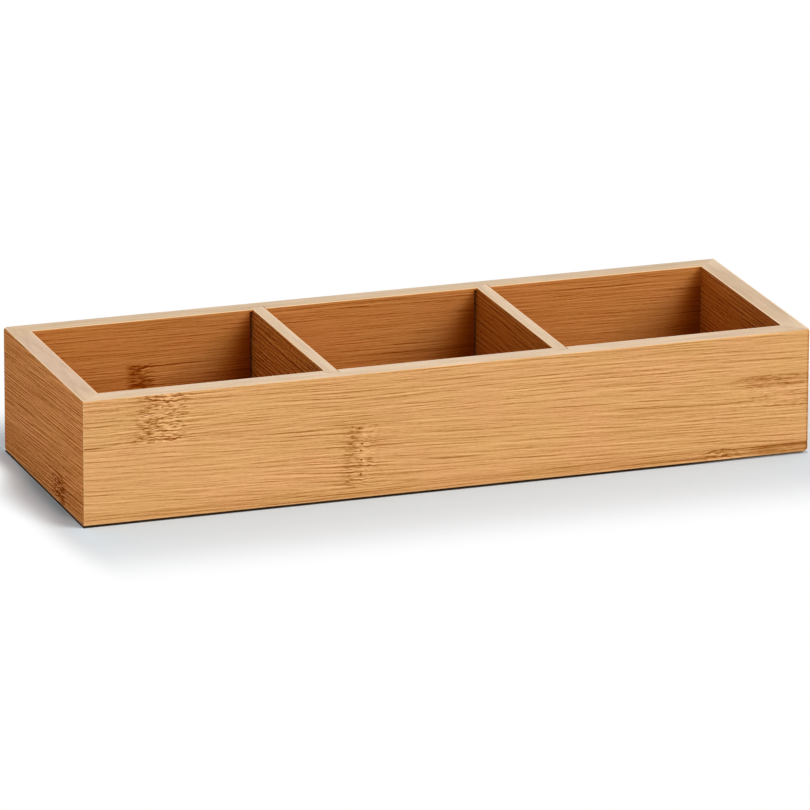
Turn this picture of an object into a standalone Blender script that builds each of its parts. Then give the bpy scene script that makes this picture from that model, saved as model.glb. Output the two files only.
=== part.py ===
"""Open bamboo storage tray: three rooms in a row inside a mitred frame.

Four boards meet in mitres at the corners, and a hidden loose tongue crosses each
mitre. A thin base panel lies in a groove that runs round the boards. Two dividers
stand on the panel, and their ends are let into housings that are open at the rim.

Metres, +Z up. The origin is the middle of the underside, +X runs to the right along
the front board, and -Y is the front.
"""

import math

import bmesh
import bpy

# The rooms set the overall size: the boards, dividers and base panel are built round them.
LEFT_ROOM_LENGTH = 0.0915
MIDDLE_ROOM_LENGTH = 0.089
RIGHT_ROOM_LENGTH = 0.0905
ROOM_WIDTH = 0.087
ROOM_DEPTH = 0.044

# Stock
BOARD_THICKNESS = 0.009
DIVIDER_THICKNESS = 0.0055
BASE_THICKNESS = 0.004
TONGUE_THICKNESS = 0.002

# The base panel sits this far above the surface that the tray stands on.
BASE_RAISE = 0.003

# How far the joints go into the boards
GROOVE_DEPTH = 0.0045
HOUSING_DEPTH = 0.0035

# A tongue crosses the mitre at a share of its width from the inner corner. It leaves a
# cover of wood before the outer faces, and stops short of the groove and of the rim.
TONGUE_PLACE_SHARE = 0.4
TONGUE_COVER = 0.002
TONGUE_FOOT_STOP = 0.006
TONGUE_TOP_STOP = 0.009

# Clearances
MITRE_GAP = 0.0003
HOUSING_GAP = 0.0003
GROOVE_GAP = 0.0003
TONGUE_GAP = 0.0003

# Edges
CORNER_ROUND = 0.0011
OUTER_EASE = 0.0006
RIM_EASE = 0.0004
PANEL_EASE = 0.0005
CORNER_STEPS = 5
EASE_STEPS = 2

# Cutters run this far past the faces that they open.
CUT_OVERRUN = 0.002

# Worked out from the sizes above
DIVIDER_COUNT = 2
INNER_LENGTH = (LEFT_ROOM_LENGTH + MIDDLE_ROOM_LENGTH + RIGHT_ROOM_LENGTH
                + DIVIDER_COUNT * DIVIDER_THICKNESS)
OUTER_LENGTH = INNER_LENGTH + 2 * BOARD_THICKNESS
OUTER_WIDTH = ROOM_WIDTH + 2 * BOARD_THICKNESS
BASE_TOP = BASE_RAISE + BASE_THICKNESS
HEIGHT = BASE_TOP + ROOM_DEPTH
LEFT_DIVIDER_X = LEFT_ROOM_LENGTH + DIVIDER_THICKNESS / 2 - INNER_LENGTH / 2
RIGHT_DIVIDER_X = INNER_LENGTH / 2 - RIGHT_ROOM_LENGTH - DIVIDER_THICKNESS / 2

# Base colour, roughness and metallic value of each finish
FRONT_BAMBOO = ((0.640, 0.315, 0.118), 0.48, 0.0)
END_BAMBOO = ((0.520, 0.240, 0.085), 0.50, 0.0)
DIVIDER_BAMBOO = ((0.470, 0.205, 0.070), 0.52, 0.0)
PANEL_BAMBOO = ((0.430, 0.185, 0.062), 0.55, 0.0)
TONGUE_WOOD = ((0.620, 0.420, 0.230), 0.65, 0.0)


def clear_scene():
    """Start from an empty scene."""
    for item in list(bpy.data.objects):
        bpy.data.objects.remove(item, do_unlink=True)


def new_collection(name):
    """Collection under the scene's own."""
    group = bpy.data.collections.new(name)
    bpy.context.scene.collection.children.link(group)
    return group


def new_material(name, finish):
    """Principled finish from a colour, a roughness and a metallic value."""
    colour, roughness, metallic = finish
    material = bpy.data.materials.new(name)
    material.use_nodes = True
    shader = material.node_tree.nodes["Principled BSDF"]
    shader.inputs["Base Color"].default_value = (*colour, 1.0)
    shader.inputs["Roughness"].default_value = roughness
    shader.inputs["Metallic"].default_value = metallic
    material.diffuse_color = (*colour, 1.0)
    return material


def box_mesh(name, low, high):
    """Closed box between two opposite corners."""
    size = [top - bottom for bottom, top in zip(low, high)]
    middle = [(top + bottom) / 2 for bottom, top in zip(low, high)]
    shape = bmesh.new()
    bmesh.ops.create_cube(shape, size=1.0)
    bmesh.ops.scale(shape, vec=size, verts=shape.verts)
    bmesh.ops.translate(shape, vec=middle, verts=shape.verts)
    mesh = bpy.data.meshes.new(name)
    shape.to_mesh(mesh)
    shape.free()
    return mesh


def place(name, mesh, group, parent, location=(0, 0, 0), turn=0.0):
    """Object at its place, turned about the vertical."""
    item = bpy.data.objects.new(name, mesh)
    group.objects.link(item)
    item.parent = parent
    item.location = location
    item.rotation_euler = (0, 0, turn)
    return item


def place_cutter(name, mesh, group, parent, location=(0, 0, 0), turn=0.0):
    """Object that only cuts others, drawn as wire."""
    item = place(name, mesh, group, parent, location, turn)
    item.hide_render = True
    item.display_type = "WIRE"
    return item


def ease_edges(item, width, steps, chosen):
    """Round the edges whose two ends both pass the test."""
    mesh = item.data
    weights = mesh.attributes.new("bevel_weight_edge", "FLOAT", "EDGE")
    for edge in mesh.edges:
        ends = [mesh.vertices[index].co for index in edge.vertices]
        weights.data[edge.index].value = 1.0 if chosen(*ends) else 0.0
    bevel = item.modifiers.new("Chosen edges", "BEVEL")
    bevel.width = width
    bevel.segments = steps
    bevel.limit_method = "WEIGHT"


def ease_sharp_edges(item, width, steps):
    """Round every edge that is still sharp."""
    bevel = item.modifiers.new("Sharp edges", "BEVEL")
    bevel.width = width
    bevel.segments = steps
    bevel.limit_method = "ANGLE"
    bevel.angle_limit = math.radians(60)


def cut(item, cutter, operation="DIFFERENCE"):
    """Cut one solid by another, or keep what both hold."""
    boolean = item.modifiers.new(cutter.name, "BOOLEAN")
    boolean.operation = operation
    boolean.solver = "EXACT"
    boolean.object = cutter


def make_outer_block(group, parent):
    """Outside of the whole tray, with its rounded corners and eased edges."""
    half_length = OUTER_LENGTH / 2
    half_width = OUTER_WIDTH / 2
    mesh = box_mesh("outer_block", (-half_length, -half_width, 0), (half_length, half_width, HEIGHT))
    block = place_cutter("outer_block", mesh, group, parent)
    ease_edges(block, CORNER_ROUND, CORNER_STEPS, lambda a, b: a.z != b.z)
    ease_sharp_edges(block, OUTER_EASE, EASE_STEPS)
    return block


def make_groove_cutter(group, parent):
    """Groove for the base panel, right round the inside of the boards."""
    half_length = INNER_LENGTH / 2 + GROOVE_DEPTH
    half_width = ROOM_WIDTH / 2 + GROOVE_DEPTH
    mesh = box_mesh("base_groove", (-half_length, -half_width, BASE_RAISE - GROOVE_GAP),
                    (half_length, half_width, BASE_TOP + GROOVE_GAP))
    return place_cutter("base_groove", mesh, group, parent)


def make_housing_cutter(name, centre_x, group, parent):
    """Housings for one divider, in the front and the back board at once."""
    half_thickness = DIVIDER_THICKNESS / 2 + HOUSING_GAP
    half_width = ROOM_WIDTH / 2 + HOUSING_DEPTH
    mesh = box_mesh(name, (-half_thickness, -half_width, BASE_TOP),
                    (half_thickness, half_width, HEIGHT + CUT_OVERRUN))
    return place_cutter(name, mesh, group, parent, (centre_x, 0, 0))


def tongue_sizes():
    """Place along the mitre, half width and ends of a corner tongue."""
    inset = TONGUE_PLACE_SHARE * BOARD_THICKNESS
    slot_reach = (BOARD_THICKNESS - TONGUE_COVER - inset) * math.sqrt(2)
    half_width = slot_reach - TONGUE_THICKNESS / 2 - 2 * TONGUE_GAP
    low = BASE_TOP + GROOVE_GAP + TONGUE_FOOT_STOP
    high = HEIGHT - TONGUE_TOP_STOP
    return inset, half_width, low, high


def corner_places():
    """Name, place and turn of the tongue at each corner, its width across the mitre."""
    inset = tongue_sizes()[0]
    x = INNER_LENGTH / 2 + inset
    y = ROOM_WIDTH / 2 + inset
    eighth_turn = math.radians(45)
    return {
        "front_left": ((-x, -y, 0), -eighth_turn),
        "front_right": ((x, -y, 0), eighth_turn),
        "back_left": ((-x, y, 0), eighth_turn),
        "back_right": ((x, y, 0), -eighth_turn),
    }


def tongue_mesh(name, margin):
    """Tongue standing on end, or its slot where a margin is given."""
    half_width, low, high = tongue_sizes()[1:]
    half_thickness = TONGUE_THICKNESS / 2 + margin
    return box_mesh(name, (-half_width - margin, -half_thickness, low - margin),
                    (half_width + margin, half_thickness, high + margin))


def make_board(name, length, place_at, turn, finish, group, parent):
    """Mitred board. It lies along its own X, and its own +Y points into the tray."""
    half_length = length / 2 - MITRE_GAP / math.sqrt(2)
    mesh = box_mesh(name, (-half_length, 0, 0), (half_length, BOARD_THICKNESS, HEIGHT))
    for corner in mesh.vertices:
        if corner.co.y > 0:
            corner.co.x -= math.copysign(BOARD_THICKNESS, corner.co.x)
    mesh.materials.append(finish)
    board = place(name, mesh, group, parent, place_at, turn)
    ease_edges(board, RIM_EASE, EASE_STEPS,
               lambda a, b: min(a.y, b.y) > 0 and min(a.z, b.z) > 0)
    return board


def make_boards(group, cutters, parent, long_finish, end_finish):
    """Four boards, cut by the outer block, the groove, the housings and the slots."""
    half_length = OUTER_LENGTH / 2
    half_width = OUTER_WIDTH / 2
    quarter_turn = math.radians(90)
    boards = {
        "front": make_board("front_board", OUTER_LENGTH, (0, -half_width, 0), 0.0,
                            long_finish, group, parent),
        "right": make_board("right_end_board", OUTER_WIDTH, (half_length, 0, 0), quarter_turn,
                            end_finish, group, parent),
        "back": make_board("back_board", OUTER_LENGTH, (0, half_width, 0), 2 * quarter_turn,
                           long_finish, group, parent),
        "left": make_board("left_end_board", OUTER_WIDTH, (-half_length, 0, 0), -quarter_turn,
                           end_finish, group, parent),
    }
    outer_block = make_outer_block(cutters, parent)
    groove = make_groove_cutter(cutters, parent)
    for board in boards.values():
        cut(board, outer_block, "INTERSECT")
        cut(board, groove)
    for side, centre_x in (("left", LEFT_DIVIDER_X), ("right", RIGHT_DIVIDER_X)):
        housing = make_housing_cutter(side + "_housing", centre_x, cutters, parent)
        cut(boards["front"], housing)
        cut(boards["back"], housing)
    for corner, (spot, turn) in corner_places().items():
        name = corner + "_slot"
        slot = place_cutter(name, tongue_mesh(name, TONGUE_GAP), cutters, parent, spot, turn)
        for side in corner.split("_"):
            cut(boards[side], slot)


def make_dividers(group, parent, finish):
    """Two dividers, flush with the rim, whose ends lie in the housings."""
    half_thickness = DIVIDER_THICKNESS / 2
    half_width = ROOM_WIDTH / 2 + HOUSING_DEPTH - HOUSING_GAP
    for name, centre_x in (("left_divider", LEFT_DIVIDER_X), ("right_divider", RIGHT_DIVIDER_X)):
        mesh = box_mesh(name, (-half_thickness, -half_width, BASE_TOP + HOUSING_GAP),
                        (half_thickness, half_width, HEIGHT))
        mesh.materials.append(finish)
        divider = place(name, mesh, group, parent, (centre_x, 0, 0))
        ease_edges(divider, RIM_EASE, EASE_STEPS,
                   lambda a, b: a.y != b.y and min(a.z, b.z) > HEIGHT / 2)


def make_base_panel(group, parent, finish):
    """Thin panel whose edges lie in the groove."""
    half_length = INNER_LENGTH / 2 + GROOVE_DEPTH - GROOVE_GAP
    half_width = ROOM_WIDTH / 2 + GROOVE_DEPTH - GROOVE_GAP
    mesh = box_mesh("base_panel", (-half_length, -half_width, 0),
                    (half_length, half_width, BASE_THICKNESS))
    mesh.materials.append(finish)
    panel = place("base_panel", mesh, group, parent, (0, 0, BASE_RAISE))
    ease_sharp_edges(panel, PANEL_EASE, 1)


def make_tongues(group, parent, finish):
    """One loose tongue across each mitre."""
    for corner, (spot, turn) in corner_places().items():
        name = corner + "_tongue"
        mesh = tongue_mesh(name, 0)
        mesh.materials.append(finish)
        place(name, mesh, group, parent, spot, turn)


def main():
    """Build the tray."""
    clear_scene()
    group = new_collection("storage_tray")
    cutters = new_collection("cutters")
    middle = bpy.data.objects.new("tray_middle", None)
    group.objects.link(middle)
    front_finish = new_material("front_and_back_bamboo", FRONT_BAMBOO)
    end_finish = new_material("end_bamboo", END_BAMBOO)
    make_boards(group, cutters, middle, front_finish, end_finish)
    make_dividers(group, middle, new_material("divider_bamboo", DIVIDER_BAMBOO))
    make_base_panel(group, middle, new_material("panel_bamboo", PANEL_BAMBOO))
    make_tongues(group, middle, new_material("tongue_wood", TONGUE_WOOD))


main()
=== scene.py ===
"""A three-room bamboo storage tray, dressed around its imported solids.

The boards, dividers and base are modelled again with finer edges and glued-up bamboo finishes.
Lengths are in metres in the tray's own frame: X to the right, Y to the back, Z up. The finishes
work in millimetres.
"""
import math
from dataclasses import dataclass

import bmesh
import bpy
from mathutils import Matrix, Vector


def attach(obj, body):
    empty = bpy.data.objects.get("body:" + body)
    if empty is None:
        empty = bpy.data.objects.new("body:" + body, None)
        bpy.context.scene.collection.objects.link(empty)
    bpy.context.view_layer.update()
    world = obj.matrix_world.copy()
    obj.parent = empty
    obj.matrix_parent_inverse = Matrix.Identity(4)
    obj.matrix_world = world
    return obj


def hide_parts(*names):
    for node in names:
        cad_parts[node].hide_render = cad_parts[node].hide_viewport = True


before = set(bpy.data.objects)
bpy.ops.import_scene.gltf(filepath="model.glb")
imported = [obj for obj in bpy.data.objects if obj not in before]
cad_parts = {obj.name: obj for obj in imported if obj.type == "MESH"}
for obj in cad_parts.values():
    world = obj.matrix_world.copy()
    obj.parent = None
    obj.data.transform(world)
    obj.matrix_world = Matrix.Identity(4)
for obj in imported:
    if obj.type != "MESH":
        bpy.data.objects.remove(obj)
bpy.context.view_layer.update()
MM = 0.001
TO_MM = 1000.0

# Sizes of the tray, as its solids have them
LENGTH = 300.0 * MM
WIDTH = 105.0 * MM
HEIGHT = 51.0 * MM
BOARD = 9.0 * MM
DIVIDER = 5.5 * MM
BASE_LOW = 3.0 * MM
BASE_TOP = 7.0 * MM
BASE_IN_GROOVE = 4.2 * MM
DIVIDER_IN_HOUSING = 3.2 * MM
DIVIDER_LIFT = 0.05 * MM
HALF_LENGTH = LENGTH / 2
HALF_WIDTH = WIDTH / 2
INNER_X = HALF_LENGTH - BOARD
INNER_Y = HALF_WIDTH - BOARD
DIVIDER_PLACES = {"left": -46.75 * MM, "right": 47.75 * MM}

# Fits of the joinery
GLUE_LINE = 0.03 * MM
GROOVE_DEPTH = 4.5 * MM
GROOVE_ROOM = 0.1 * MM
HOUSING_DEPTH = 3.5 * MM
HOUSING_ROOM = 0.04 * MM
HOUSING_GAP = 1.2 * MM
HOUSING_GAP_DEPTH = 3.0 * MM
HOUSING_GAP_STOP = 0.9 * MM
CUT_OVERRUN = 2.0 * MM

# Edges and corners, rounded and worn
OUTER_EASE = 0.45 * MM
INNER_EASE = 0.4 * MM
DIVIDER_EASE = 0.5 * MM
BASE_EASE = 0.4 * MM
EASE_STEPS = 4
BASE_EASE_STEPS = 2
FORM_STEPS = 5
FOOT_RELIEF = 0.95 * MM
FOOT_RELIEF_DEPTH = 4.5 * MM
CORNER_ROUNDS = {
    (-1, -1): 0.5 * MM,
    (1, -1): 1.2 * MM,
    (-1, 1): 1.0 * MM,
    (1, 1): 0.8 * MM,
}
WIDEST_ROUND = 2.0 * MM
WORN_CORNERS = ((-1, 1, 1), (-1, 1, -1), (1, -1, 1), (1, -1, -1))
WORN_DEPTH = 1.0 * MM
SMOOTH_ANGLE = math.radians(40)

# How near two places count as one: to pick edges, to saw and to join doubled points
PICK_REACH = 0.01 * MM
SAW_PRECISION = 0.001 * MM
JOIN_REACH = 0.002 * MM

# The photograph's view, fitted to the tray's edges
CAMERA_PLACE = (-1.0987947, -3.1212972, 1.0477622)
CAMERA_YAW = math.radians(19.38329)
CAMERA_PITCH = math.radians(17.26556)
CAMERA_ROLL = math.radians(0.18730)
CAMERA_LENS = 390.0999
CAMERA_SENSOR = 36.0
CAMERA_NEAR = 0.1
CAMERA_FAR = 50.0


def select_nothing():
    bpy.ops.object.select_all(action="DESELECT")


def make_active(piece):
    select_nothing()
    piece.select_set(True)
    bpy.context.view_layer.objects.active = piece


def add_block(name, low, high):
    """A box primitive at its size and place, which the later steps shape."""
    select_nothing()
    middle = [(a + b) / 2 for a, b in zip(low, high)]
    size = [b - a for a, b in zip(low, high)]
    bpy.ops.mesh.primitive_cube_add(size=1, location=middle, scale=size)
    block = bpy.context.object
    block.name = name
    block.data.name = name
    bpy.ops.object.transform_apply(location=True, rotation=True, scale=True)
    return block


def pick_edges(piece, wanted):
    """In edit mode, selects the edges whose two ends pass the test, and counts them."""
    bpy.ops.mesh.select_mode(type="EDGE")
    bpy.ops.mesh.select_all(action="DESELECT")
    mesh = bmesh.from_edit_mesh(piece.data)
    found = 0
    for edge in mesh.edges:
        if wanted(edge.verts[0].co, edge.verts[1].co):
            edge.select_set(True)
            found += 1
    bmesh.update_edit_mesh(piece.data)
    return found


def round_edges(piece, wanted, radius, steps=EASE_STEPS):
    make_active(piece)
    bpy.ops.object.mode_set(mode="EDIT")
    if pick_edges(piece, wanted):
        bpy.ops.mesh.bevel(offset=radius, segments=steps, profile=0.5, clamp_overlap=True)
    bpy.ops.object.mode_set(mode="OBJECT")


def slice_off(piece, point, away):
    """Saws the piece through a point and leaves out the side that the direction points to."""
    make_active(piece)
    bpy.ops.object.mode_set(mode="EDIT")
    bpy.ops.mesh.select_all(action="SELECT")
    bpy.ops.mesh.bisect(
        plane_co=point, plane_no=away.normalized(), use_fill=True, clear_outer=True, threshold=SAW_PRECISION
    )
    bpy.ops.object.mode_set(mode="OBJECT")


def carve(piece, tool, operation="DIFFERENCE", keep_tool=False):
    make_active(piece)
    step = piece.modifiers.new("carve", "BOOLEAN")
    step.operation = operation
    step.solver = "EXACT"
    step.object = tool
    bpy.ops.object.modifier_apply(modifier=step.name)
    if not keep_tool:
        bpy.data.objects.remove(tool, do_unlink=True)


def finish_mesh(piece):
    """Joins doubled points, turns every face outwards and smooths the eased edges only."""
    make_active(piece)
    bpy.ops.object.mode_set(mode="EDIT")
    bpy.ops.mesh.select_all(action="SELECT")
    bpy.ops.mesh.remove_doubles(threshold=JOIN_REACH)
    bpy.ops.mesh.normals_make_consistent(inside=False)
    bpy.ops.object.mode_set(mode="OBJECT")
    bpy.ops.object.shade_smooth_by_angle(angle=SMOOTH_ANGLE)


def seat(piece, node, finish):
    """Puts a finished piece in its solid's place and its finish."""
    piece.data.materials.clear()
    piece.data.materials.append(finish)
    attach(piece, "root")
    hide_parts(node)


def make_outer_form():
    """The whole tray's outside with its rounded edges, which trims the four boards."""
    form = add_block("outer_form", (-HALF_LENGTH, -HALF_WIDTH, 0.0), (HALF_LENGTH, HALF_WIDTH, HEIGHT))
    mesh = form.data
    weights = mesh.attributes.new("bevel_weight_edge", "FLOAT", "EDGE")
    for edge in mesh.edges:
        a, b = (mesh.vertices[index].co for index in edge.vertices)
        if abs(a.z - b.z) > HEIGHT / 2:
            radius = CORNER_ROUNDS[(1 if a.x > 0 else -1, 1 if a.y > 0 else -1)]
        else:
            radius = OUTER_EASE if a.z > HEIGHT / 2 else 0.0
        weights.data[edge.index].value = radius / WIDEST_ROUND
    step = form.modifiers.new("rounding", "BEVEL")
    step.limit_method = "WEIGHT"
    step.width = WIDEST_ROUND
    step.segments = FORM_STEPS
    make_active(form)
    bpy.ops.object.modifier_apply(modifier=step.name)

    for across, half in ((0, HALF_LENGTH), (1, HALF_WIDTH)):
        for sign in (-1, 1):
            point = Vector((0, 0, FOOT_RELIEF))
            point[across] = sign * half
            away = Vector((0, 0, -FOOT_RELIEF_DEPTH))
            away[across] = sign * FOOT_RELIEF
            slice_off(form, point, away)
    for corner in WORN_CORNERS:
        away = Vector(corner).normalized()
        height = HEIGHT if corner[2] > 0 else FOOT_RELIEF
        tip = Vector((corner[0] * HALF_LENGTH, corner[1] * HALF_WIDTH, height))
        slice_off(form, tip - away * WORN_DEPTH, away)
    finish_mesh(form)
    return form


def make_board(name, side, outer_form):
    """One wall of the tray: sawn to its mitres, grooved, housed for the dividers and eased."""
    along, across = (0, 1) if side in ("front", "back") else (1, 0)
    sign = -1 if side in ("front", "left") else 1
    halves = (HALF_LENGTH, HALF_WIDTH)
    inner = halves[across] - BOARD

    low = [-HALF_LENGTH - CUT_OVERRUN, -HALF_WIDTH - CUT_OVERRUN, -CUT_OVERRUN]
    high = [HALF_LENGTH + CUT_OVERRUN, HALF_WIDTH + CUT_OVERRUN, HEIGHT + CUT_OVERRUN]
    low[across] = inner
    if sign < 0:
        low[across], high[across] = -high[across], -low[across]
    board = add_block(name, low, high)
    for end in (-1, 1):
        point = Vector((0, 0, 0))
        point[along] = end * (halves[along] - GLUE_LINE / 2)
        point[across] = sign * halves[across]
        away = Vector((0, 0, 0))
        away[along] = end
        away[across] = -sign
        slice_off(board, point, away)
    carve(board, outer_form, "INTERSECT", keep_tool=True)

    def cut_inside(cutter, low, high, depth):
        """Cuts a groove or a slot into the inside face."""
        low[across], high[across] = sorted((sign * (inner - CUT_OVERRUN), sign * (inner + depth)))
        carve(board, add_block(cutter, low, high))

    low = [-HALF_LENGTH, -HALF_WIDTH, BASE_LOW - GROOVE_ROOM]
    high = [HALF_LENGTH, HALF_WIDTH, BASE_TOP + GROOVE_ROOM]
    cut_inside("groove_cutter", low, high, GROOVE_DEPTH)
    if along == 0:
        half_slot = DIVIDER / 2 + HOUSING_ROOM
        for place in DIVIDER_PLACES.values():
            low = [place - half_slot, 0, BASE_TOP - CUT_OVERRUN]
            high = [place + half_slot, 0, HEIGHT + CUT_OVERRUN]
            cut_inside("housing_cutter", low, high, HOUSING_DEPTH)
            low = [place - half_slot - HOUSING_GAP, 0, BASE_TOP]
            high = [place - DIVIDER / 2, 0, HEIGHT - HOUSING_GAP_STOP]
            cut_inside("gap_cutter", low, high, HOUSING_GAP_DEPTH)

    def inner_rim(*ends):
        on_top = min(end.z for end in ends) > HEIGHT - PICK_REACH
        return on_top and all(abs(end[across] - sign * inner) < PICK_REACH for end in ends)
    round_edges(board, inner_rim, INNER_EASE)
    finish_mesh(board)
    return board


def make_divider(name, place):
    low = (place - DIVIDER / 2, -INNER_Y - DIVIDER_IN_HOUSING, BASE_TOP + DIVIDER_LIFT)
    high = (place + DIVIDER / 2, INNER_Y + DIVIDER_IN_HOUSING, HEIGHT)
    divider = add_block(name, low, high)

    def long_top(a, b):
        return min(a.z, b.z) > HEIGHT - PICK_REACH and abs(a.y - b.y) > WIDTH / 2
    round_edges(divider, long_top, DIVIDER_EASE)
    finish_mesh(divider)
    return divider


def make_base(name):
    low = (-INNER_X - BASE_IN_GROOVE, -INNER_Y - BASE_IN_GROOVE, BASE_LOW)
    high = (INNER_X + BASE_IN_GROOVE, INNER_Y + BASE_IN_GROOVE, BASE_TOP)
    base = add_block(name, low, high)
    round_edges(base, lambda a, b: True, BASE_EASE, BASE_EASE_STEPS)
    finish_mesh(base)
    return base


class Field:
    """A value that varies over a surface. Arithmetic on it adds Math nodes to its finish."""

    def __init__(self, finish, socket):
        self.finish = finish
        self.socket = socket

    def math(self, operation, *others):
        return self.finish.node("ShaderNodeMath", {"operation": operation}, [self, *others])

    def output(self, key):
        """Another output of the same node."""
        return Field(self.finish, self.socket.node.outputs[key])

    def __add__(self, other):
        return self.math("ADD", other)

    __radd__ = __add__

    def __sub__(self, other):
        return self.math("SUBTRACT", other)

    def __rsub__(self, other):
        return self.finish.node("ShaderNodeMath", {"operation": "SUBTRACT"}, [other, self])

    def __mul__(self, other):
        return self.math("MULTIPLY", other)

    __rmul__ = __mul__

    def __truediv__(self, other):
        return self.math("DIVIDE", other)

    def __neg__(self):
        return self * -1.0

    def __abs__(self):
        return self.math("ABSOLUTE")

    def squared(self):
        return self * self

    def least(self, other):
        return self.math("MINIMUM", other)

    def most(self, other):
        return self.math("MAXIMUM", other)

    def ease(self, start, end, low=0.0, high=1.0):
        """Goes smoothly from low at start to high at end, and stays there."""
        settings = {"interpolation_type": "SMOOTHSTEP", "clamp": True}
        return self.finish.node("ShaderNodeMapRange", settings, [self, start, end, low, high])


def between(value, start, end, soft=0.15):
    """1 from start to end and 0 beyond them, with soft edges."""
    return value.ease(start - soft, start + soft) * value.ease(end + soft, end - soft)


def bell(value):
    """1 at zero, falling away smoothly on both sides."""
    return (-value.squared()).math("EXPONENT")


def colour(red, green, blue):
    return (red, green, blue, 1.0)


def shown(red, green, blue):
    """The colour that shows as these 0 to 255 numbers on a plainly lit surface."""
    def linear(number):
        part = min(max(number, 0.0), 255.0) / 255.0
        return part / 12.92 if part <= 0.04045 else ((part + 0.055) / 1.055) ** 2.4
    return (linear(red), linear(green), linear(blue), 1.0)


class Finish:
    """The nodes of one material, or of the studio's surroundings."""

    def __init__(self, owner):
        owner.use_nodes = True
        self.owner = owner
        self.tree = owner.node_tree
        self.tree.nodes.clear()

    def node(self, kind, settings=None, values=(), output=0):
        """Adds a node, sets it up, fills its sockets by order or name, and returns one output."""
        made = self.tree.nodes.new(kind)
        for key, value in (settings or {}).items():
            setattr(made, key, value)
        pairs = values.items() if isinstance(values, dict) else enumerate(values)
        for key, value in pairs:
            if isinstance(value, Field):
                self.tree.links.new(value.socket, made.inputs[key])
            else:
                made.inputs[key].default_value = value
        return Field(self, made.outputs[output]) if made.outputs else None

    def split(self, kind, whole):
        """The three parts of a vector or a colour."""
        first = self.node(kind, values=[whole])
        return first, first.output(1), first.output(2)

    def place(self):
        """The three coordinates of the piece's own frame, in metres."""
        return self.split("ShaderNodeSeparateXYZ", self.node("ShaderNodeTexCoord", output="Object"))

    def blend(self, factor, first, second, how="MIX"):
        settings = {"data_type": "RGBA", "blend_type": how, "clamp_factor": True}
        return self.node("ShaderNodeMix", settings, {0: factor, 6: first, 7: second}, output=2)

    def seen(self):
        """1 where the camera looks, also by way of a mirror or through glass, and 0 for plain light."""
        camera = self.node("ShaderNodeLightPath", output="Is Camera Ray")
        return camera.most(camera.output("Is Glossy Ray")).most(camera.output("Is Transmission Ray"))


@dataclass
class Slat:
    """One glued strip: where it starts and ends across the board."""
    start: float = -5.0
    end: float = 60.0
    tone: float = 0.0  # how much lighter it is than the board
    gain: float = 0.0  # how much lighter it gets for each millimetre along
    lean: float = 0.0  # how far its lines sink for each millimetre along
    seed: float = 0.0  # sets its figure apart from its neighbours'


@dataclass
class Knot:
    """A bamboo node: its middle along the board, and where it starts and ends across the board."""
    along: float
    start: float
    end: float
    reach: float  # half its width
    strength: float = 1.0
    lean: float = 0.0  # how far its middle moves along for each millimetre across
    pits: float = 1.0  # how deep its column of tiny pits is
    dark: float = 0.1  # how much darker its body is
    light: float = 0.0  # how much lighter its middle is


@dataclass
class Seam:
    """A dark glue line between two strips, from one place along the board to another."""
    across: float
    start: float
    end: float
    depth: float = 0.5


# Tones as they show on a plainly lit surface, in red, green and blue from 0 to 255
FRONT_TONE = (208, 155, 98)
# Painted shade: the left end's outside darker and redder than the front, as the side turned from the key
# lamp
LEFT_END_SHADED_TONE = (202, 132, 74)
# Painted shade: the inside faces darker and redder than the outside, for less light and light bounced
# between the walls; the right end's inside darkest
INSIDE_SHADED_TONE = (189, 120, 57)
RIGHT_INSIDE_SHADED_TONE = (171, 95, 24)
# Painted shade: the dividers darker and redder than the front, for their faces turned from the key lamp;
# the right one darker still
LEFT_DIVIDER_SHADED_TONE = (183, 108, 36)
RIGHT_DIVIDER_SHADED_TONE = (174, 100, 30)
BASE_TONE = (188, 125, 68)
# Rim tones: the wood's colour with painted sheen, paler and greyer than the faces, in place of part of the
# coat's reflection; the rim's real coat gives the rest
FRONT_RIM_TONE_AND_SHEEN = (216, 183, 144)
FRONT_RIM_RIGHT_TONE_AND_SHEEN = (208, 170, 128)
BACK_RIM_TONE_AND_SHEEN = (206, 173, 132)
BACK_RIM_RIGHT_TONE_AND_SHEEN = (204, 169, 125)
LEFT_RIM_TONE_AND_SHEEN = (208, 174, 143)
RIGHT_RIM_TONE_AND_SHEEN = (198, 161, 117)
DIVIDER_RIM_TONE_AND_SHEEN = (213, 180, 142)
# Painted highlight along the rim's edges and on their rounding
EDGE_HIGHLIGHT_TONE = (244, 205, 157)
# Painted highlight on the foot's rounded edge and at the light corner
ARRIS_HIGHLIGHT_TONE = (236, 190, 136)
# Painted shade in the hollows beside the dividers, on top of their real shade: dark purple-brown by the
# left one, fainter by the right
HOLLOW_SHADE_TONE = (150, 58, 62)
FAINT_HOLLOW_SHADE_TONE = (186, 104, 66)

# The tone ramp from dark to light: a place on it, its step from the middle tone, its share of redness
TONE_STEPS = (
    (0.0, -82.0, 1.0),
    (0.25, -40.0, 0.5),
    (0.5, 0.0, 0.0),
    (0.75, 22.0, 0.0),
    (1.0, 44.0, 0.0),
)
REDDER = (0.0, -10.0, -16.0)
# Painted shade: the inside's dark fibres redder still, for light bounced between the walls
INSIDE_REDNESS = 1.5

# The wood drifts between these two hues
YELLOWER = colour(0.98, 1.0, 0.95)
PINKER = colour(1.0, 0.985, 1.0)
HUE_TURN = (0.36, 0.64)

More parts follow.
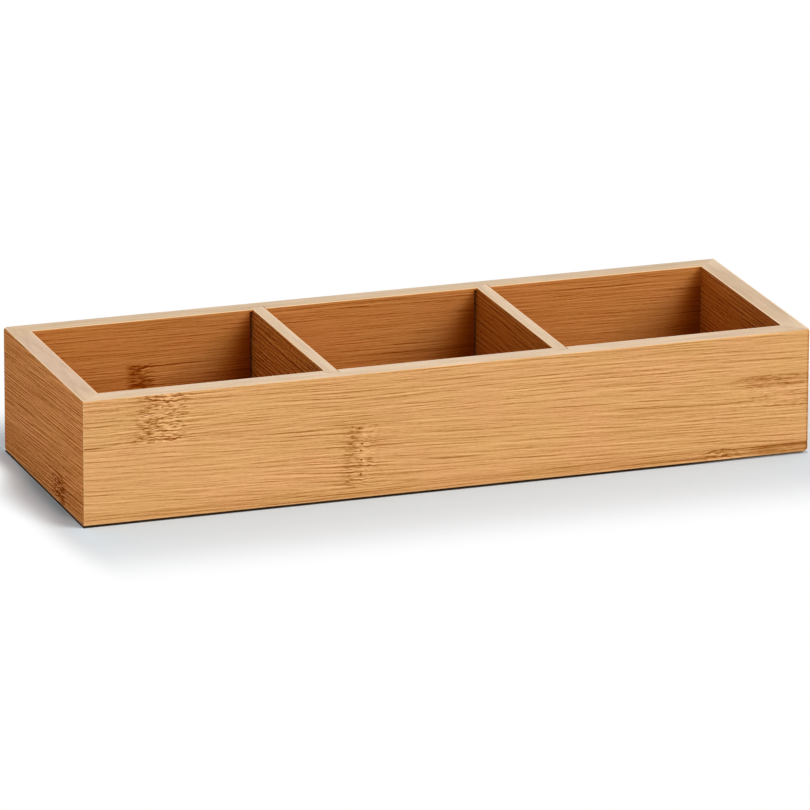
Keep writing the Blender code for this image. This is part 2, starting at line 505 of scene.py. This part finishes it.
# Layers of noise: how fast each changes along, across and through the board, for each millimetre,
# and a number that keeps its pattern apart from the others
LAYERS = {
    "drift": (0.008, 0.05, 0.05, 0.0),
    "waver": (0.030, 0.15, 0.2, 7.0),
    "kink": (0.13, 0.70, 0.4, 9.0),
    "quiver": (0.34, 1.10, 0.4, 11.0),
    "bulge": (0.09, 0.10, 0.4, 3.0),
    "ripple": (0.42, 0.50, 0.4, 5.0),
    "broad": (0.009, 0.10, 0.1, 0.0),
    "streak": (0.018, 1.10, 0.0, 20.0),
    "strand": (0.013, 1.25, 0.7, 30.0),
    "fibre": (0.050, 2.15, 1.2, 40.0),
    "fleck": (0.24, 2.60, 1.2, 45.0),
    "fade": (0.05, 0.30, 0.4, 50.0),
    "stroke": (0.36, 2.10, 0.4, 60.0),
    "speck": (1.5, 1.5, 1.5, 70.0),
    "hue": (0.045, 0.08, 0.4, 90.0),
}

# How far each layer bends the lines, in millimetres, along the whole board and within a node
BENDS = {"drift": 2.5, "waver": 0.6, "kink": 0.26, "quiver": 0.16}
KNOT_BENDS = {"bulge": 2.4, "ripple": 1.4}

# A line is a noise less this share of itself, this much of its own width further across
LINE_STEP = 0.5
LINE_SHARE = 0.7

# How strongly each layer shows in a board's figure
BROAD_WEIGHT = 0.26
STREAK_WEIGHT = 0.95
FLECK_WEIGHT = 0.50
SPECK_WEIGHT = 0.20
STROKE_WEIGHT = 2.8
HAZE_WEIGHT = 0.6
PIT_WEIGHT = 1.6
CONTRAST = 0.62

# The values from which and at which a line counts as dark, and how much darker it is then
DARK_STRANDS = (-0.10, -0.26)
DARK_STRAND_WEIGHT = 0.26
DARK_FIBRES = (-0.12, -0.26)
DARK_FIBRE_WEIGHT = 0.16
DARK_STROKES = (0.42, 0.26)
DARK_STROKE_WEIGHT = 0.45

# The lines fade to the least strength in some patches and rise above it in others
FADE_TURN = (0.25, 0.75)
LEAST_STRENGTH = 0.75
STRENGTH_RISE = 0.4

# Soft edges of the nodes and seams, and the painted shade line at some corners
KNOT_SOFTNESS = 0.4
KNOT_END_SOFTNESS = 0.5
SEAM_WIDTH = 0.28
SEAM_SOFTNESS = 4.0
SHADED_END_EDGE = (1.6, 0.3)
SHADED_END_WEIGHT = 0.5

# The column of pits in a node: how far apart, how much each strays, its soft edge, and how the
# chance number of each turns into its strength
PIT_PITCH = 4.3
PIT_STRAY_ALONG = 1.8
PIT_STRAY_ACROSS = 2.2
PIT_EDGE = (0.62, 0.22)
PIT_FLATTENING = 1.3
PIT_CHANCE = (0.1, 0.5)
PIT_MARGIN = 0.5

# How far into a board, from its inside face, the inside's tone begins
INSIDE_DEPTHS = (0.4, 0.1)

# Heights between which the finish turns into the rim's, and at which the rim is flat
RIM_HEIGHTS = (50.78, 50.94)
FLAT_HEIGHTS = (50.85, 50.99)
RIM_SPECK_WEIGHT = 0.12
RIM_FADE_WEIGHT = 0.30
RIM_STRAND_WEIGHT = 0.15
# The painted highlight on the rim's edges: its soft width from each edge, its share there, and its share on
# the rounded edge
RIM_EDGE = (0.95, 0.40)
RIM_EDGE_SHARE = 0.85
ROUNDED_EDGE_SHARE = 0.6
RIM_COAT = 0.45
RIM_COAT_ROUGHNESS = 0.22

# Painted highlights: on the rounded foot below these heights, and along the fibres at a light corner
FOOT_HEIGHTS = (1.9, 1.3)
FOOT_HIGHLIGHT_SHARE = 0.25
LIGHT_END_EDGE = (0.8, 0.3)
HIGHLIGHT_FIBRES = (-0.15, 0.10)
HIGHLIGHT_SHARES = (0.05, 0.45)

# The surface: its roughness, how much smoother its lines and the rim are, and its relief
ROUGHNESS = 0.47
SMOOTHER_FIBRES = 0.12
SMOOTHER_STREAKS = 0.08
SMOOTHER_RIM = 0.08
RELIEF_STRENGTH = 0.12
RELIEF_DEPTH = 0.2 * MM

# The shade on the back board to the left of each corner: where it ends at the corner, how wide
# it is at a height and how it widens below, and how strongly it dims red, green and blue
CORNER_END = (2.7, 2.5)
CORNER_HEIGHT = 46.0
CORNER_WIDTH = 3.5
CORNER_SPREAD = 0.37
NARROWEST_CORNER = 1.5
CORNER_HEIGHTS = (50.5, 38.0)
CORNER_STRENGTHS = (0.3, 1.15)
CORNER_SHARES = (1.0, 1.7, 3.4)

# The hollow beside a divider: its span, from the divider's middle, and its mouth, floor and top
HOLLOW_SPAN = (-4.2, -2.6)
HOLLOW_SOFTNESS = 0.05
HOLLOW_MOUTH = (43.6, 43.8)
HOLLOW_FLOOR = (47.6, 47.2)
HOLLOW_TOP = (50.3, 50.1)


@dataclass
class Look:
    """How one board's bamboo looks. Places are in millimetres of the tray."""
    tone: tuple
    slats: tuple = (Slat(),)
    knots: tuple = ()
    seams: tuple = ()
    seed: float = 0.0  # sets the whole figure apart from the other boards'
    streaks: float = 1.0  # how strongly the lines show
    bite: float = 1.0  # how much the darkest lines and flecks show
    brisk: float = 1.0  # how short the lines are
    fine: float = 1.0  # how narrow the lines are
    wavy: float = 1.0  # how far the lines wander
    redness: float = 1.0  # how red the dark lines are
    sheen: float = 0.12  # how much the plain wood shines
    inner_shaded_tone: tuple = None  # the inside faces' darker, redder tone of painted shade, where it differs
    inner_face: float = 0.0  # where the inside lies, measured through the board
    inner_calm: float = 0.8  # how strongly the lines show on the inside
    corners: tuple = ()  # inner corners with shade to their left
    hollows: tuple = ()  # dividers with a hollow beside them, each with its tone of painted shade
    has_rim: bool = True
    # the rim's tone, with painted sheen
    rim_tone_and_sheen: tuple = FRONT_RIM_TONE_AND_SHEEN
    rim_ends: tuple = ()  # tones that the rim turns into, each from one place along to another
    highlight_edges: tuple = ()  # edges with a painted highlight line, measured through the board
    light_ends: tuple = ()  # corners with a painted highlight along their fibres
    shaded_ends: tuple = ()  # corners with a thin line of painted shade on their rounded edge


class Bamboo(Finish):
    """The finish of one board. The grain names the axes that run along, across and through it."""

    def __init__(self, name, grain, look):
        super().__init__(bpy.data.materials.new(name))
        self.look = look
        axes = dict(zip("xyz", self.place()))
        self.along, self.across, self.through = (axes[letter] * TO_MM for letter in grain)
        self.height = axes["z"] * TO_MM
        self.strips = [(between(self.across, slat.start, slat.end), slat) for slat in look.slats]
        self.body, self.haze, self.shade, self.pits = self.draw_knots()
        self.level = self.bend_lines()
        self.streak = self.fine_lines("streak")
        self.strand = self.fine_lines("strand")
        self.fibre = self.fine_lines("fibre")
        self.speck = self.noise("speck")
        self.fade = self.noise("fade")

    def noise(self, layer, place=None, brisk=1.0, fine=1.0):
        """One layer of noise, drawn at this place or at the plain place across the board."""
        long_rate, cross_rate, deep_rate, number = LAYERS[layer]
        place = self.across if place is None else place
        depth = self.through * deep_rate + self.look.seed + number
        values = [self.along * (long_rate * brisk), place * (cross_rate * fine), depth]
        vector = self.node("ShaderNodeCombineXYZ", values=values)
        return self.node("ShaderNodeTexNoise", values={"Vector": vector, "Scale": 1.0, "Detail": 1.0})

    def fine_lines(self, layer):
        """Lines of one width only, along the bent level."""
        brisk, fine = self.look.brisk, self.look.fine
        further = self.level + LINE_STEP / (LAYERS[layer][1] * fine)
        here = self.noise(layer, self.level, brisk, fine)
        beside = self.noise(layer, further, brisk, fine)
        return (here - 0.5) - (beside - 0.5) * LINE_SHARE

    def draw_pits(self, knot, away):
        """A column of tiny dark pits down a node's middle, one to a cell, each a little off its place."""
        cell = (self.across / PIT_PITCH).math("FLOOR")
        values = {"W": cell + self.look.seed + knot.along}
        scatter = self.node("ShaderNodeTexWhiteNoise", {"noise_dimensions": "1D"}, values, "Color")
        aside, above, size = self.split("ShaderNodeSeparateColor", scatter)
        off_along = away - (aside - 0.5) * PIT_STRAY_ALONG
        off_across = self.across - (cell + 0.5) * PIT_PITCH - (above - 0.5) * PIT_STRAY_ACROSS
        apart = (off_along.squared() + (off_across * PIT_FLATTENING).squared()).math("SQRT")
        spot = apart.ease(*PIT_EDGE) * size.ease(*PIT_CHANCE)
        return spot * between(self.across, knot.start + PIT_MARGIN, knot.end - PIT_MARGIN) * knot.pits

    def draw_knots(self):
        """What the nodes add up to: their bodies, the haze around them, their shade and their pits."""
        bodies, hazes, shades, pits = [], [], [], []
        for knot in self.look.knots:
            away = self.along - knot.along - (self.across - knot.start) * knot.lean
            part = away / knot.reach
            band = between(self.across, knot.start, knot.end, KNOT_SOFTNESS) * knot.strength
            body = between(part, -1.0, 1.0, KNOT_END_SOFTNESS) * band
            light = bell(part * 2.0 - 0.5) * band * knot.light
            bodies.append(body)
            hazes.append(bell(part * 0.5) * band)
            shades.append(body * (1.0 - part * 0.5) * knot.dark - light)
            if knot.pits:
                pits.append(self.draw_pits(knot, away))
        return sum(bodies), sum(hazes), sum(shades), sum(pits)

    def bend_lines(self):
        """The level that each fibre keeps: bent, set apart in each strip, and ruffled in the nodes."""
        bends = sum((self.noise(layer) - 0.5) * reach for layer, reach in BENDS.items())
        level = self.across + bends * self.look.wavy
        level = level + sum(inside * (slat.seed + self.along * slat.lean) for inside, slat in self.strips)
        if self.look.knots:
            ruffles = sum((self.noise(layer) - 0.5) * reach for layer, reach in KNOT_BENDS.items())
            level = level + self.body * ruffles
        return level

    def draw_figure(self):
        """The board's whole figure as one value: 0 for the middle tone, less for darker."""
        look = self.look
        fleck = self.noise("fleck", brisk=look.brisk)
        lines = self.streak * STREAK_WEIGHT + self.strand + self.fibre
        lines = lines - self.strand.ease(*DARK_STRANDS) * (DARK_STRAND_WEIGHT * look.bite)
        lines = lines - self.fibre.ease(*DARK_FIBRES) * (DARK_FIBRE_WEIGHT * look.bite)
        lines = lines + (fleck - 0.5) * (FLECK_WEIGHT * look.bite) + (self.speck - 0.5) * SPECK_WEIGHT
        strength = (self.fade.ease(*FADE_TURN) * STRENGTH_RISE + LEAST_STRENGTH) * look.streaks
        if look.knots:
            strength = strength + self.haze * HAZE_WEIGHT
        strips = sum(inside * (self.along * slat.gain + slat.tone) for inside, slat in self.strips)
        broad = self.noise("broad", self.level)
        figure = (broad - 0.5) * BROAD_WEIGHT + lines * strength + strips
        if look.knots:
            stroke = self.noise("stroke", self.level)
            marks = (stroke - 0.5) * STROKE_WEIGHT - stroke.ease(*DARK_STROKES) * DARK_STROKE_WEIGHT
            figure = figure + self.body * marks - self.shade - self.pits * PIT_WEIGHT
        for seam in look.seams:
            line = bell((self.across - seam.across) / SEAM_WIDTH)
            figure = figure - line * between(self.along, seam.start, seam.end, SEAM_SOFTNESS) * seam.depth
        # Painted shade: a thin dark line along a rounded corner edge
        for place in look.shaded_ends:
            figure = figure - abs(self.along - place).ease(*SHADED_END_EDGE) * SHADED_END_WEIGHT
        return figure

    def tone_ramp(self, lift, middle, redness=0.0):
        """Bamboo from its darkest fibres, which can be redder, to its lightest around a middle tone."""
        made = self.node("ShaderNodeValToRGB", values=[lift])
        ramp = made.socket.node.color_ramp
        for place, step, share in TONE_STEPS:
            if place in (0.0, 1.0):
                stop = ramp.elements[0 if place == 0.0 else len(ramp.elements) - 1]
            else:
                stop = ramp.elements.new(place)
            reds = [red * share * redness for red in REDDER]
            stop.color = shown(*(part + step + red for part, red in zip(middle, reds)))
        return made

    def paint_wood(self, figure):
        """The wood's colour, with the inside's darker tone of painted shade, painted shade in its inner
        corners and in its hollows.
        """
        look = self.look
        lift = (figure * CONTRAST + 0.5).most(0.0).least(1.0)
        wood = self.tone_ramp(lift, look.tone, look.redness)
        if look.inner_shaded_tone:
            calm = (lift - 0.5) * look.inner_calm + 0.5
            depths = [look.inner_face + math.copysign(depth, look.inner_face) for depth in INSIDE_DEPTHS]
            on_inside = self.through.ease(*depths)
            inside = self.tone_ramp(calm, look.inner_shaded_tone, look.redness * INSIDE_REDNESS)
            wood = self.blend(on_inside, wood, inside)
            if look.corners:
                shade = self.corner_shade() * on_inside
                dimmed = [(shade * -share).math("EXPONENT") for share in CORNER_SHARES]
                dimming = self.node("ShaderNodeCombineColor", values=dimmed)
                wood = self.blend(1.0, wood, dimming, "MULTIPLY")
        # Painted shade: each hollow's walls take a darker tone
        for place, tone in look.hollows:
            wood = self.blend(self.hollow(place), wood, shown(*tone))
        hue = self.noise("hue").ease(*HUE_TURN)
        return self.blend(1.0, wood, self.blend(hue, YELLOWER, PINKER), "MULTIPLY")

    def corner_shade(self):
        """Soft shade to the left of each inner corner, wider and deeper further down."""
        width = ((self.height - CORNER_HEIGHT) * -CORNER_SPREAD + CORNER_WIDTH).most(NARROWEST_CORNER)
        shades = []
        for place in self.look.corners:
            left_of = self.along.ease(*(place + end for end in CORNER_END))
            shades.append(bell((self.along - place) / width) * left_of)
        return sum(shades) * self.height.ease(*CORNER_HEIGHTS, *CORNER_STRENGTHS)

    def hollow(self, place):
        """The thin hollow in which a divider's housing ends, whose walls take a tone of painted shade."""
        depth = abs(self.through)
        span = between(self.along, *(place + end for end in HOLLOW_SPAN), HOLLOW_SOFTNESS)
        return span * depth.ease(*HOLLOW_MOUTH) * depth.ease(*HOLLOW_FLOOR) * self.height.ease(*HOLLOW_TOP)

    def paint_arris_highlights(self, wood):
        """Painted highlights: paler on the rounded foot and, broken up by the fibres, at the light corners.
        """
        arris_highlight = self.height.ease(*FOOT_HEIGHTS) * FOOT_HIGHLIGHT_SHARE
        for place in self.look.light_ends:
            at_end = abs(self.along - place).ease(*LIGHT_END_EDGE)
            arris_highlight = arris_highlight.most(at_end * self.fibre.ease(*HIGHLIGHT_FIBRES, *HIGHLIGHT_SHARES))
        return self.blend(arris_highlight, wood, shown(*ARRIS_HIGHLIGHT_TONE))

    def paint_rim(self, wood, rim, flat):
        """The rim's wood with painted sheen, paler than the faces, and a painted highlight along its edges.
        """
        look = self.look
        mottle = (self.speck - 0.5) * RIM_SPECK_WEIGHT + (self.fade - 0.5) * RIM_FADE_WEIGHT
        mottle = mottle + self.strand * RIM_STRAND_WEIGHT + 0.5
        # Painted sheen: the rim's pale tones
        pale = self.tone_ramp(mottle, look.rim_tone_and_sheen)
        for tone, start, end in look.rim_ends:
            pale = self.blend(self.along.ease(start, end), pale, self.tone_ramp(mottle, tone))
        wood = self.blend(rim, wood, pale)
        # Painted highlight: paler lines along the rim's edges and on its rounded edge, where less light
        # falls
        lines = sum(abs(self.through - edge).ease(*RIM_EDGE) for edge in look.highlight_edges)
        edge_highlight = (lines.least(1.0) * RIM_EDGE_SHARE).most((1.0 - flat) * ROUNDED_EDGE_SHARE) * rim
        return self.blend(edge_highlight, wood, shown(*EDGE_HIGHLIGHT_TONE))

    def finished(self):
        """Puts the finish together and returns the material."""
        figure = self.draw_figure()
        rim = self.height.ease(*RIM_HEIGHTS)
        flat = self.height.ease(*FLAT_HEIGHTS)
        wood = self.paint_wood(figure)
        if self.look.has_rim:
            wood = self.paint_rim(self.paint_arris_highlights(wood), rim, flat)
        roughness = ROUGHNESS - self.fibre * SMOOTHER_FIBRES - self.streak * SMOOTHER_STREAKS
        roughness = roughness - rim * SMOOTHER_RIM
        relief = {"Strength": RELIEF_STRENGTH, "Distance": RELIEF_DEPTH, "Height": figure}
        bump = self.node("ShaderNodeBump", values=relief)
        shader = self.node("ShaderNodeBsdfPrincipled", values={
            "Base Color": wood,
            "Roughness": roughness,
            "Specular IOR Level": self.look.sheen,
            "Coat Weight": flat * RIM_COAT if self.look.has_rim else 0.0,
            "Coat Roughness": RIM_COAT_ROUGHNESS,
            "Normal": bump,
        })
        self.node("ShaderNodeOutputMaterial", values={"Surface": shader})
        return self.owner


def front_look(dividers):
    """The front board's strips, nodes and seams, placed as the photograph shows them."""
    return Look(
        tone=FRONT_TONE,
        slats=(
            Slat(31.4, 60.0, tone=0.0, gain=-0.0001, lean=0.0175, seed=0.0),
            Slat(5.5, 31.4, tone=0.02, gain=-0.0003, lean=0.038, seed=31.0),
            Slat(-5.0, 5.5, tone=-0.10, gain=-0.0004, lean=0.005, seed=57.0),
        ),
        knots=(
            Knot(-119.0, 31.4, 60.0, 9.5, strength=0.85, lean=0.10, pits=0.6, dark=0.17, light=0.2),
            Knot(-38.0, 5.0, 30.0, 6.5, strength=0.5, lean=0.03, pits=1.2, dark=0.26, light=0.35),
            Knot(113.0, -5.0, 5.5, 7.0, strength=0.6),
            Knot(139.0, 29.0, 34.0, 17.0, strength=0.26, pits=0.0, dark=0.75),
            Knot(134.0, 20.0, 29.0, 16.0, strength=0.20, pits=0.0, dark=0.0),
            Knot(142.0, -5.0, 4.6, 14.0, strength=0.12, pits=0.0, dark=1.6),
        ),
        seams=(Seam(31.6, -152.0, -142.0, depth=0.8), Seam(4.6, 108.0, 152.0)),
        seed=1.3,
        streaks=0.76,
        bite=0.8,
        brisk=2.1,
        inner_shaded_tone=INSIDE_SHADED_TONE,
        inner_face=-INNER_Y / MM,
        hollows=dividers,
        rim_ends=((FRONT_RIM_RIGHT_TONE_AND_SHEEN, 30.0, 150.0),),
        highlight_edges=(-INNER_Y / MM,),
        light_ends=(-HALF_LENGTH / MM,),
        shaded_ends=(HALF_LENGTH / MM,),
    )


def back_look(dividers, corners):
    """The back board, whose inside the photograph shows."""
    return Look(
        tone=FRONT_TONE,
        slats=(
            Slat(28.0, 60.0, tone=0.16, gain=0.0004, lean=0.008, seed=5.0),
            Slat(-5.0, 28.0, tone=0.10, gain=0.0004, lean=0.01, seed=44.0),
        ),
        knots=(
            Knot(-96.0, 20.0, 33.0, 4.8, strength=0.9, pits=0.15, dark=0.5),
            Knot(42.0, -5.0, 18.0, 6.0, strength=0.8),
        ),
        seed=4.1,
        streaks=1.05,
        bite=0.9,
        brisk=1.8,
        sheen=0.03,
        inner_shaded_tone=INSIDE_SHADED_TONE,
        inner_face=INNER_Y / MM,
        corners=corners,
        hollows=dividers,
        rim_tone_and_sheen=BACK_RIM_TONE_AND_SHEEN,
        rim_ends=((BACK_RIM_RIGHT_TONE_AND_SHEEN, 30.0, 150.0),),
        highlight_edges=(INNER_Y / MM,),
    )


def left_end_look(rim_ends):
    """The left end, whose outside the photograph shows."""
    return Look(
        tone=LEFT_END_SHADED_TONE,
        slats=(Slat(14.0, 60.0, lean=0.05, seed=3.0), Slat(-5.0, 14.0, tone=-0.08, lean=0.04, seed=71.0)),
        knots=(Knot(-20.0, -5.0, 12.0, 7.0, dark=0.3),),
        seed=8.7,
        streaks=1.65,
        bite=0.8,
        brisk=1.9,
        fine=1.45,
        wavy=0.5,
        redness=0.4,
        sheen=0.0,
        inner_shaded_tone=INSIDE_SHADED_TONE,
        inner_face=-INNER_X / MM,
        rim_tone_and_sheen=LEFT_RIM_TONE_AND_SHEEN,
        rim_ends=rim_ends,
        highlight_edges=(-HALF_LENGTH / MM, -INNER_X / MM),
        shaded_ends=(HALF_WIDTH / MM,),
    )


def right_end_look(rim_ends):
    """The right end. Only its inside shows, so its outside is like the front."""
    return Look(
        tone=FRONT_TONE,
        slats=(Slat(24.0, 60.0, seed=13.0), Slat(-5.0, 24.0, tone=0.05, seed=27.0)),
        knots=(Knot(18.0, -5.0, 24.0, 6.0, strength=0.8),),
        seed=15.2,
        bite=1.3,
        brisk=2.0,
        wavy=0.5,
        inner_shaded_tone=RIGHT_INSIDE_SHADED_TONE,
        inner_face=INNER_X / MM,
        inner_calm=1.15,
        rim_tone_and_sheen=RIGHT_RIM_TONE_AND_SHEEN,
        rim_ends=rim_ends,
        highlight_edges=(INNER_X / MM, HALF_LENGTH / MM),
    )


def divider_look(side, tone, seed, streaks, bite):
    """A divider: one strip, with a painted highlight line along each edge of its rim."""
    place = DIVIDER_PLACES[side]
    return Look(
        tone=tone,
        seed=seed,
        streaks=streaks,
        bite=bite,
        brisk=2.0,
        fine=1.2,
        wavy=0.4,
        sheen=0.04,
        rim_tone_and_sheen=DIVIDER_RIM_TONE_AND_SHEEN,
        highlight_edges=((place - DIVIDER / 2) / MM, (place + DIVIDER / 2) / MM),
    )


def base_look():
    """The base, which is made of four strips."""
    return Look(
        tone=BASE_TONE,
        slats=(
            Slat(-60.0, -31.0, tone=0.05, seed=11.0),
            Slat(-31.0, -8.0, tone=-0.05, seed=41.0),
            Slat(-8.0, 16.0, tone=0.07, seed=77.0),
            Slat(16.0, 60.0, tone=-0.03, seed=103.0),
        ),
        knots=(
            Knot(-80.0, -31.0, -8.0, 6.0, strength=0.7),
            Knot(70.0, -8.0, 16.0, 6.0, strength=0.7),
        ),
        seed=36.0,
        has_rim=False,
    )


def make_finishes():
    """The bamboo of every board, by name."""
    left, right = (DIVIDER_PLACES[side] / MM for side in ("left", "right"))
    half = DIVIDER / 2 / MM
    dividers = ((left, HOLLOW_SHADE_TONE), (right, FAINT_HOLLOW_SHADE_TONE))
    corners = (left - half, right - half, INNER_X / MM)
    end_rims = ((FRONT_RIM_TONE_AND_SHEEN, -30.0, -50.0), (BACK_RIM_TONE_AND_SHEEN, 30.0, 50.0))
    left_divider = divider_look("left", LEFT_DIVIDER_SHADED_TONE, seed=22.4, streaks=2.2, bite=1.6)
    right_divider = divider_look("right", RIGHT_DIVIDER_SHADED_TONE, seed=29.9, streaks=1.2, bite=1.0)
    looks = {
        "front_bamboo": ("xzy", front_look(dividers)),
        "back_bamboo": ("xzy", back_look(dividers, corners)),
        "left_end_bamboo": ("yzx", left_end_look(end_rims)),
        "right_end_bamboo": ("yzx", right_end_look(end_rims)),
        "left_divider_bamboo": ("yzx", left_divider),
        "right_divider_bamboo": ("yzx", right_divider),
        "base_bamboo": ("xyz", base_look()),
        "tongue_wood": ("zxy", Look(tone=FRONT_TONE, seed=50.0, has_rim=False)),
    }
    return {name: Bamboo(name, grain, look).finished() for name, (grain, look) in looks.items()}


def make_tray():
    finishes = make_finishes()
    outer_form = make_outer_form()
    boards = (
        ("front", "front_board", "long_boards"),
        ("back", "back_board", "long_boards"),
        ("left", "left_end_board", "end_boards"),
        ("right", "right_end_board", "end_boards"),
    )
    for side, node, slot in boards:
        board = make_board(side + "_slatted_board", side, outer_form)
        seat(board, node, finishes[node.replace("_board", "_bamboo")])
    bpy.data.objects.remove(outer_form, do_unlink=True)
    for side, place in DIVIDER_PLACES.items():
        divider = make_divider(side + "_eased_divider", place)
        seat(divider, side + "_divider", finishes[side + "_divider_bamboo"])
    seat(make_base("slatted_base"), "base_panel", finishes["base_bamboo"])
    for node in ("front_left_tongue", "front_right_tongue", "back_left_tongue", "back_right_tongue"):
        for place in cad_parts[node].material_slots:
            place.material = finishes["tongue_wood"]


# How far the tray's shadow, real and painted, shows on the floor on each side of it, in millimetres
SHADOW_REACH = {"left": 24.0, "back_left": 12.0, "right": 55.0, "front": 72.0, "back": 60.0}
LEFT_NARROWS_AT_BACK = (-5.0, 32.0)
LEFT_NARROWS_AT_FRONT = (-45.0, -10.0)
LEFT_FRONT_SHARE = 0.82

# Where each painted shadow on the floor lies, as a part of the shadow's reach or in millimetres along the
# tray's side
NEAR_SHADE = (0.0, 0.6)
LEFT_SHADE_RISES = (0.0, 0.02)
LEFT_SHADE_FALLS = (0.36, 0.0)
LEFT_SHADE_FRONT = (-51.0, -30.0)
LEFT_SHADE_BACK = (45.0, 0.0)
LEFT_SHADE_BACK_SHARE = 0.2
# The painted dark line of shadow under the tray's edge, which fades towards the right end
UNDER_EDGE = (0.004, 0.0)
UNDER_RIGHT = (145.0, 90.0)
UNDER_RIGHT_SHARE = 0.3
SHADOW_FADES = (0.25, 1.02)

# The floor, in metres, its colour in plain light, and the painted shadow colours that the camera sees near
# the tray
FLOOR_SIZE = 12.0
WHITE = colour(1, 1, 1)
FLOOR_WHITE = colour(0.86, 0.86, 0.86)
FLOOR_SHADE = colour(0.68, 0.775, 0.84)
FLOOR_SHADE_FAR = colour(0.69, 0.72, 0.745)
FLOOR_SHADE_LEFT = colour(0.32, 0.39, 0.43)
FLOOR_UNDER_PAINTED_SHADOW = colour(0.08, 0.065, 0.05)

# The studio's light: its level from all around, and each lamp's direction, size and level
SURROUNDINGS_LEVEL = 0.44
LAMP_DISTANCE = 10.0
LAMPS = {
    "key_lamp": ((0.66, -0.44, 0.62), 5.6, 0.66),
    "front_lamp": ((-0.35, -0.88, 0.36), 5.0, 0.22),
    "top_lamp": ((0.0, 0.22, 0.97), 5.6, 0.16),
}


def make_floor():
    """A pale floor with the tray's real soft shadow and a painted shadow around it, which fades to white
    away from it.
    """
    select_nothing()
    bpy.ops.mesh.primitive_plane_add(size=FLOOR_SIZE, location=(0, 0, 0))
    floor = bpy.context.object
    floor.name = "studio_floor"
    finish = Finish(bpy.data.materials.new("studio_white"))
    x, y = (part * TO_MM for part in finish.place()[:2])

    # How far each place is from the tray, as a part of the shadow's reach on that side
    left_reach = y.ease(*LEFT_NARROWS_AT_BACK, SHADOW_REACH["left"], SHADOW_REACH["back_left"])
    left_reach = left_reach * y.ease(*LEFT_NARROWS_AT_FRONT, LEFT_FRONT_SHARE, 1.0)
    left = (x + HALF_LENGTH / MM).least(0.0) / left_reach
    right = (x - HALF_LENGTH / MM).most(0.0) / SHADOW_REACH["right"]
    front = (y + HALF_WIDTH / MM).least(0.0) / SHADOW_REACH["front"]
    back = (y - HALF_WIDTH / MM).most(0.0) / SHADOW_REACH["back"]
    away = ((left + right).squared() + (front + back).squared()).math("SQRT")

    # Painted shadow: the colour that the camera sees darkens near the tray, more in a band along the left
    # end, and to nearly black under the tray's edge
    shade = finish.blend(away.ease(*NEAR_SHADE), FLOOR_SHADE, FLOOR_SHADE_FAR)
    beside = (-left).ease(*LEFT_SHADE_RISES) * (-left).ease(*LEFT_SHADE_FALLS)
    beside = beside * y.ease(*LEFT_SHADE_FRONT) * y.ease(*LEFT_SHADE_BACK, LEFT_SHADE_BACK_SHARE, 1.0)
    shade = finish.blend(beside, shade, FLOOR_SHADE_LEFT)
    painted_under_shadow = away.ease(*UNDER_EDGE) * x.ease(*UNDER_RIGHT, UNDER_RIGHT_SHARE, 1.0)
    shade = finish.blend(painted_under_shadow, shade, FLOOR_UNDER_PAINTED_SHADOW)

    seen = finish.seen()
    pale = finish.blend(seen, FLOOR_WHITE, shade)
    ground = finish.node("ShaderNodeBsdfDiffuse", values={"Color": pale})
    glow = finish.node("ShaderNodeEmission", values={"Color": WHITE, "Strength": 1.0})
    mixed = finish.node("ShaderNodeMixShader", values=[away.ease(*SHADOW_FADES) * seen, ground, glow])
    finish.node("ShaderNodeOutputMaterial", values={"Surface": mixed})
    floor.data.materials.append(finish.owner)


def make_surroundings():
    """Soft light from all around, which the camera sees as white."""
    world = bpy.data.worlds.new("studio_surroundings")
    bpy.context.scene.world = world
    finish = Finish(world)
    soft = finish.node("ShaderNodeBackground", values={"Color": WHITE, "Strength": SURROUNDINGS_LEVEL})
    white = finish.node("ShaderNodeBackground", values={"Color": WHITE, "Strength": 1.0})
    mixed = finish.node("ShaderNodeMixShader", values=[finish.seen(), soft, white])
    finish.node("ShaderNodeOutputWorld", values={"Surface": mixed})


def add_soft_lamp(name, direction, size, level):
    """A square soft lamp whose light on a surface facing it equals the level."""
    aim = Vector(direction).normalized()
    lamp = bpy.data.lights.new(name, "AREA")
    lamp.shape = "SQUARE"
    lamp.size = size
    lamp.energy = level * (math.pi * LAMP_DISTANCE) ** 2
    lamp_object = bpy.data.objects.new(name, lamp)
    lamp_object.location = aim * LAMP_DISTANCE
    lamp_object.rotation_euler = aim.to_track_quat("Z", "Y").to_euler()
    bpy.context.scene.collection.objects.link(lamp_object)


def place_camera():
    lens = bpy.data.cameras.new("photograph_view")
    lens.lens = CAMERA_LENS
    lens.sensor_width = CAMERA_SENSOR
    lens.clip_start = CAMERA_NEAR
    lens.clip_end = CAMERA_FAR
    camera = bpy.data.objects.new("photograph_view", lens)
    turn = Matrix.Rotation(-CAMERA_YAW, 4, "Z")
    tilt = Matrix.Rotation(math.pi / 2 - CAMERA_PITCH, 4, "X")
    roll = Matrix.Rotation(CAMERA_ROLL, 4, "Z")
    camera.matrix_world = Matrix.Translation(CAMERA_PLACE) @ turn @ tilt @ roll
    bpy.context.scene.collection.objects.link(camera)
    bpy.context.scene.camera = camera


bpy.context.scene.view_settings.view_transform = "Standard"
place_camera()
make_surroundings()
for lamp_name, (direction, size, level) in LAMPS.items():
    add_soft_lamp(lamp_name, direction, size, level)
make_floor()
make_tray()

bpy.context.view_layer.update()
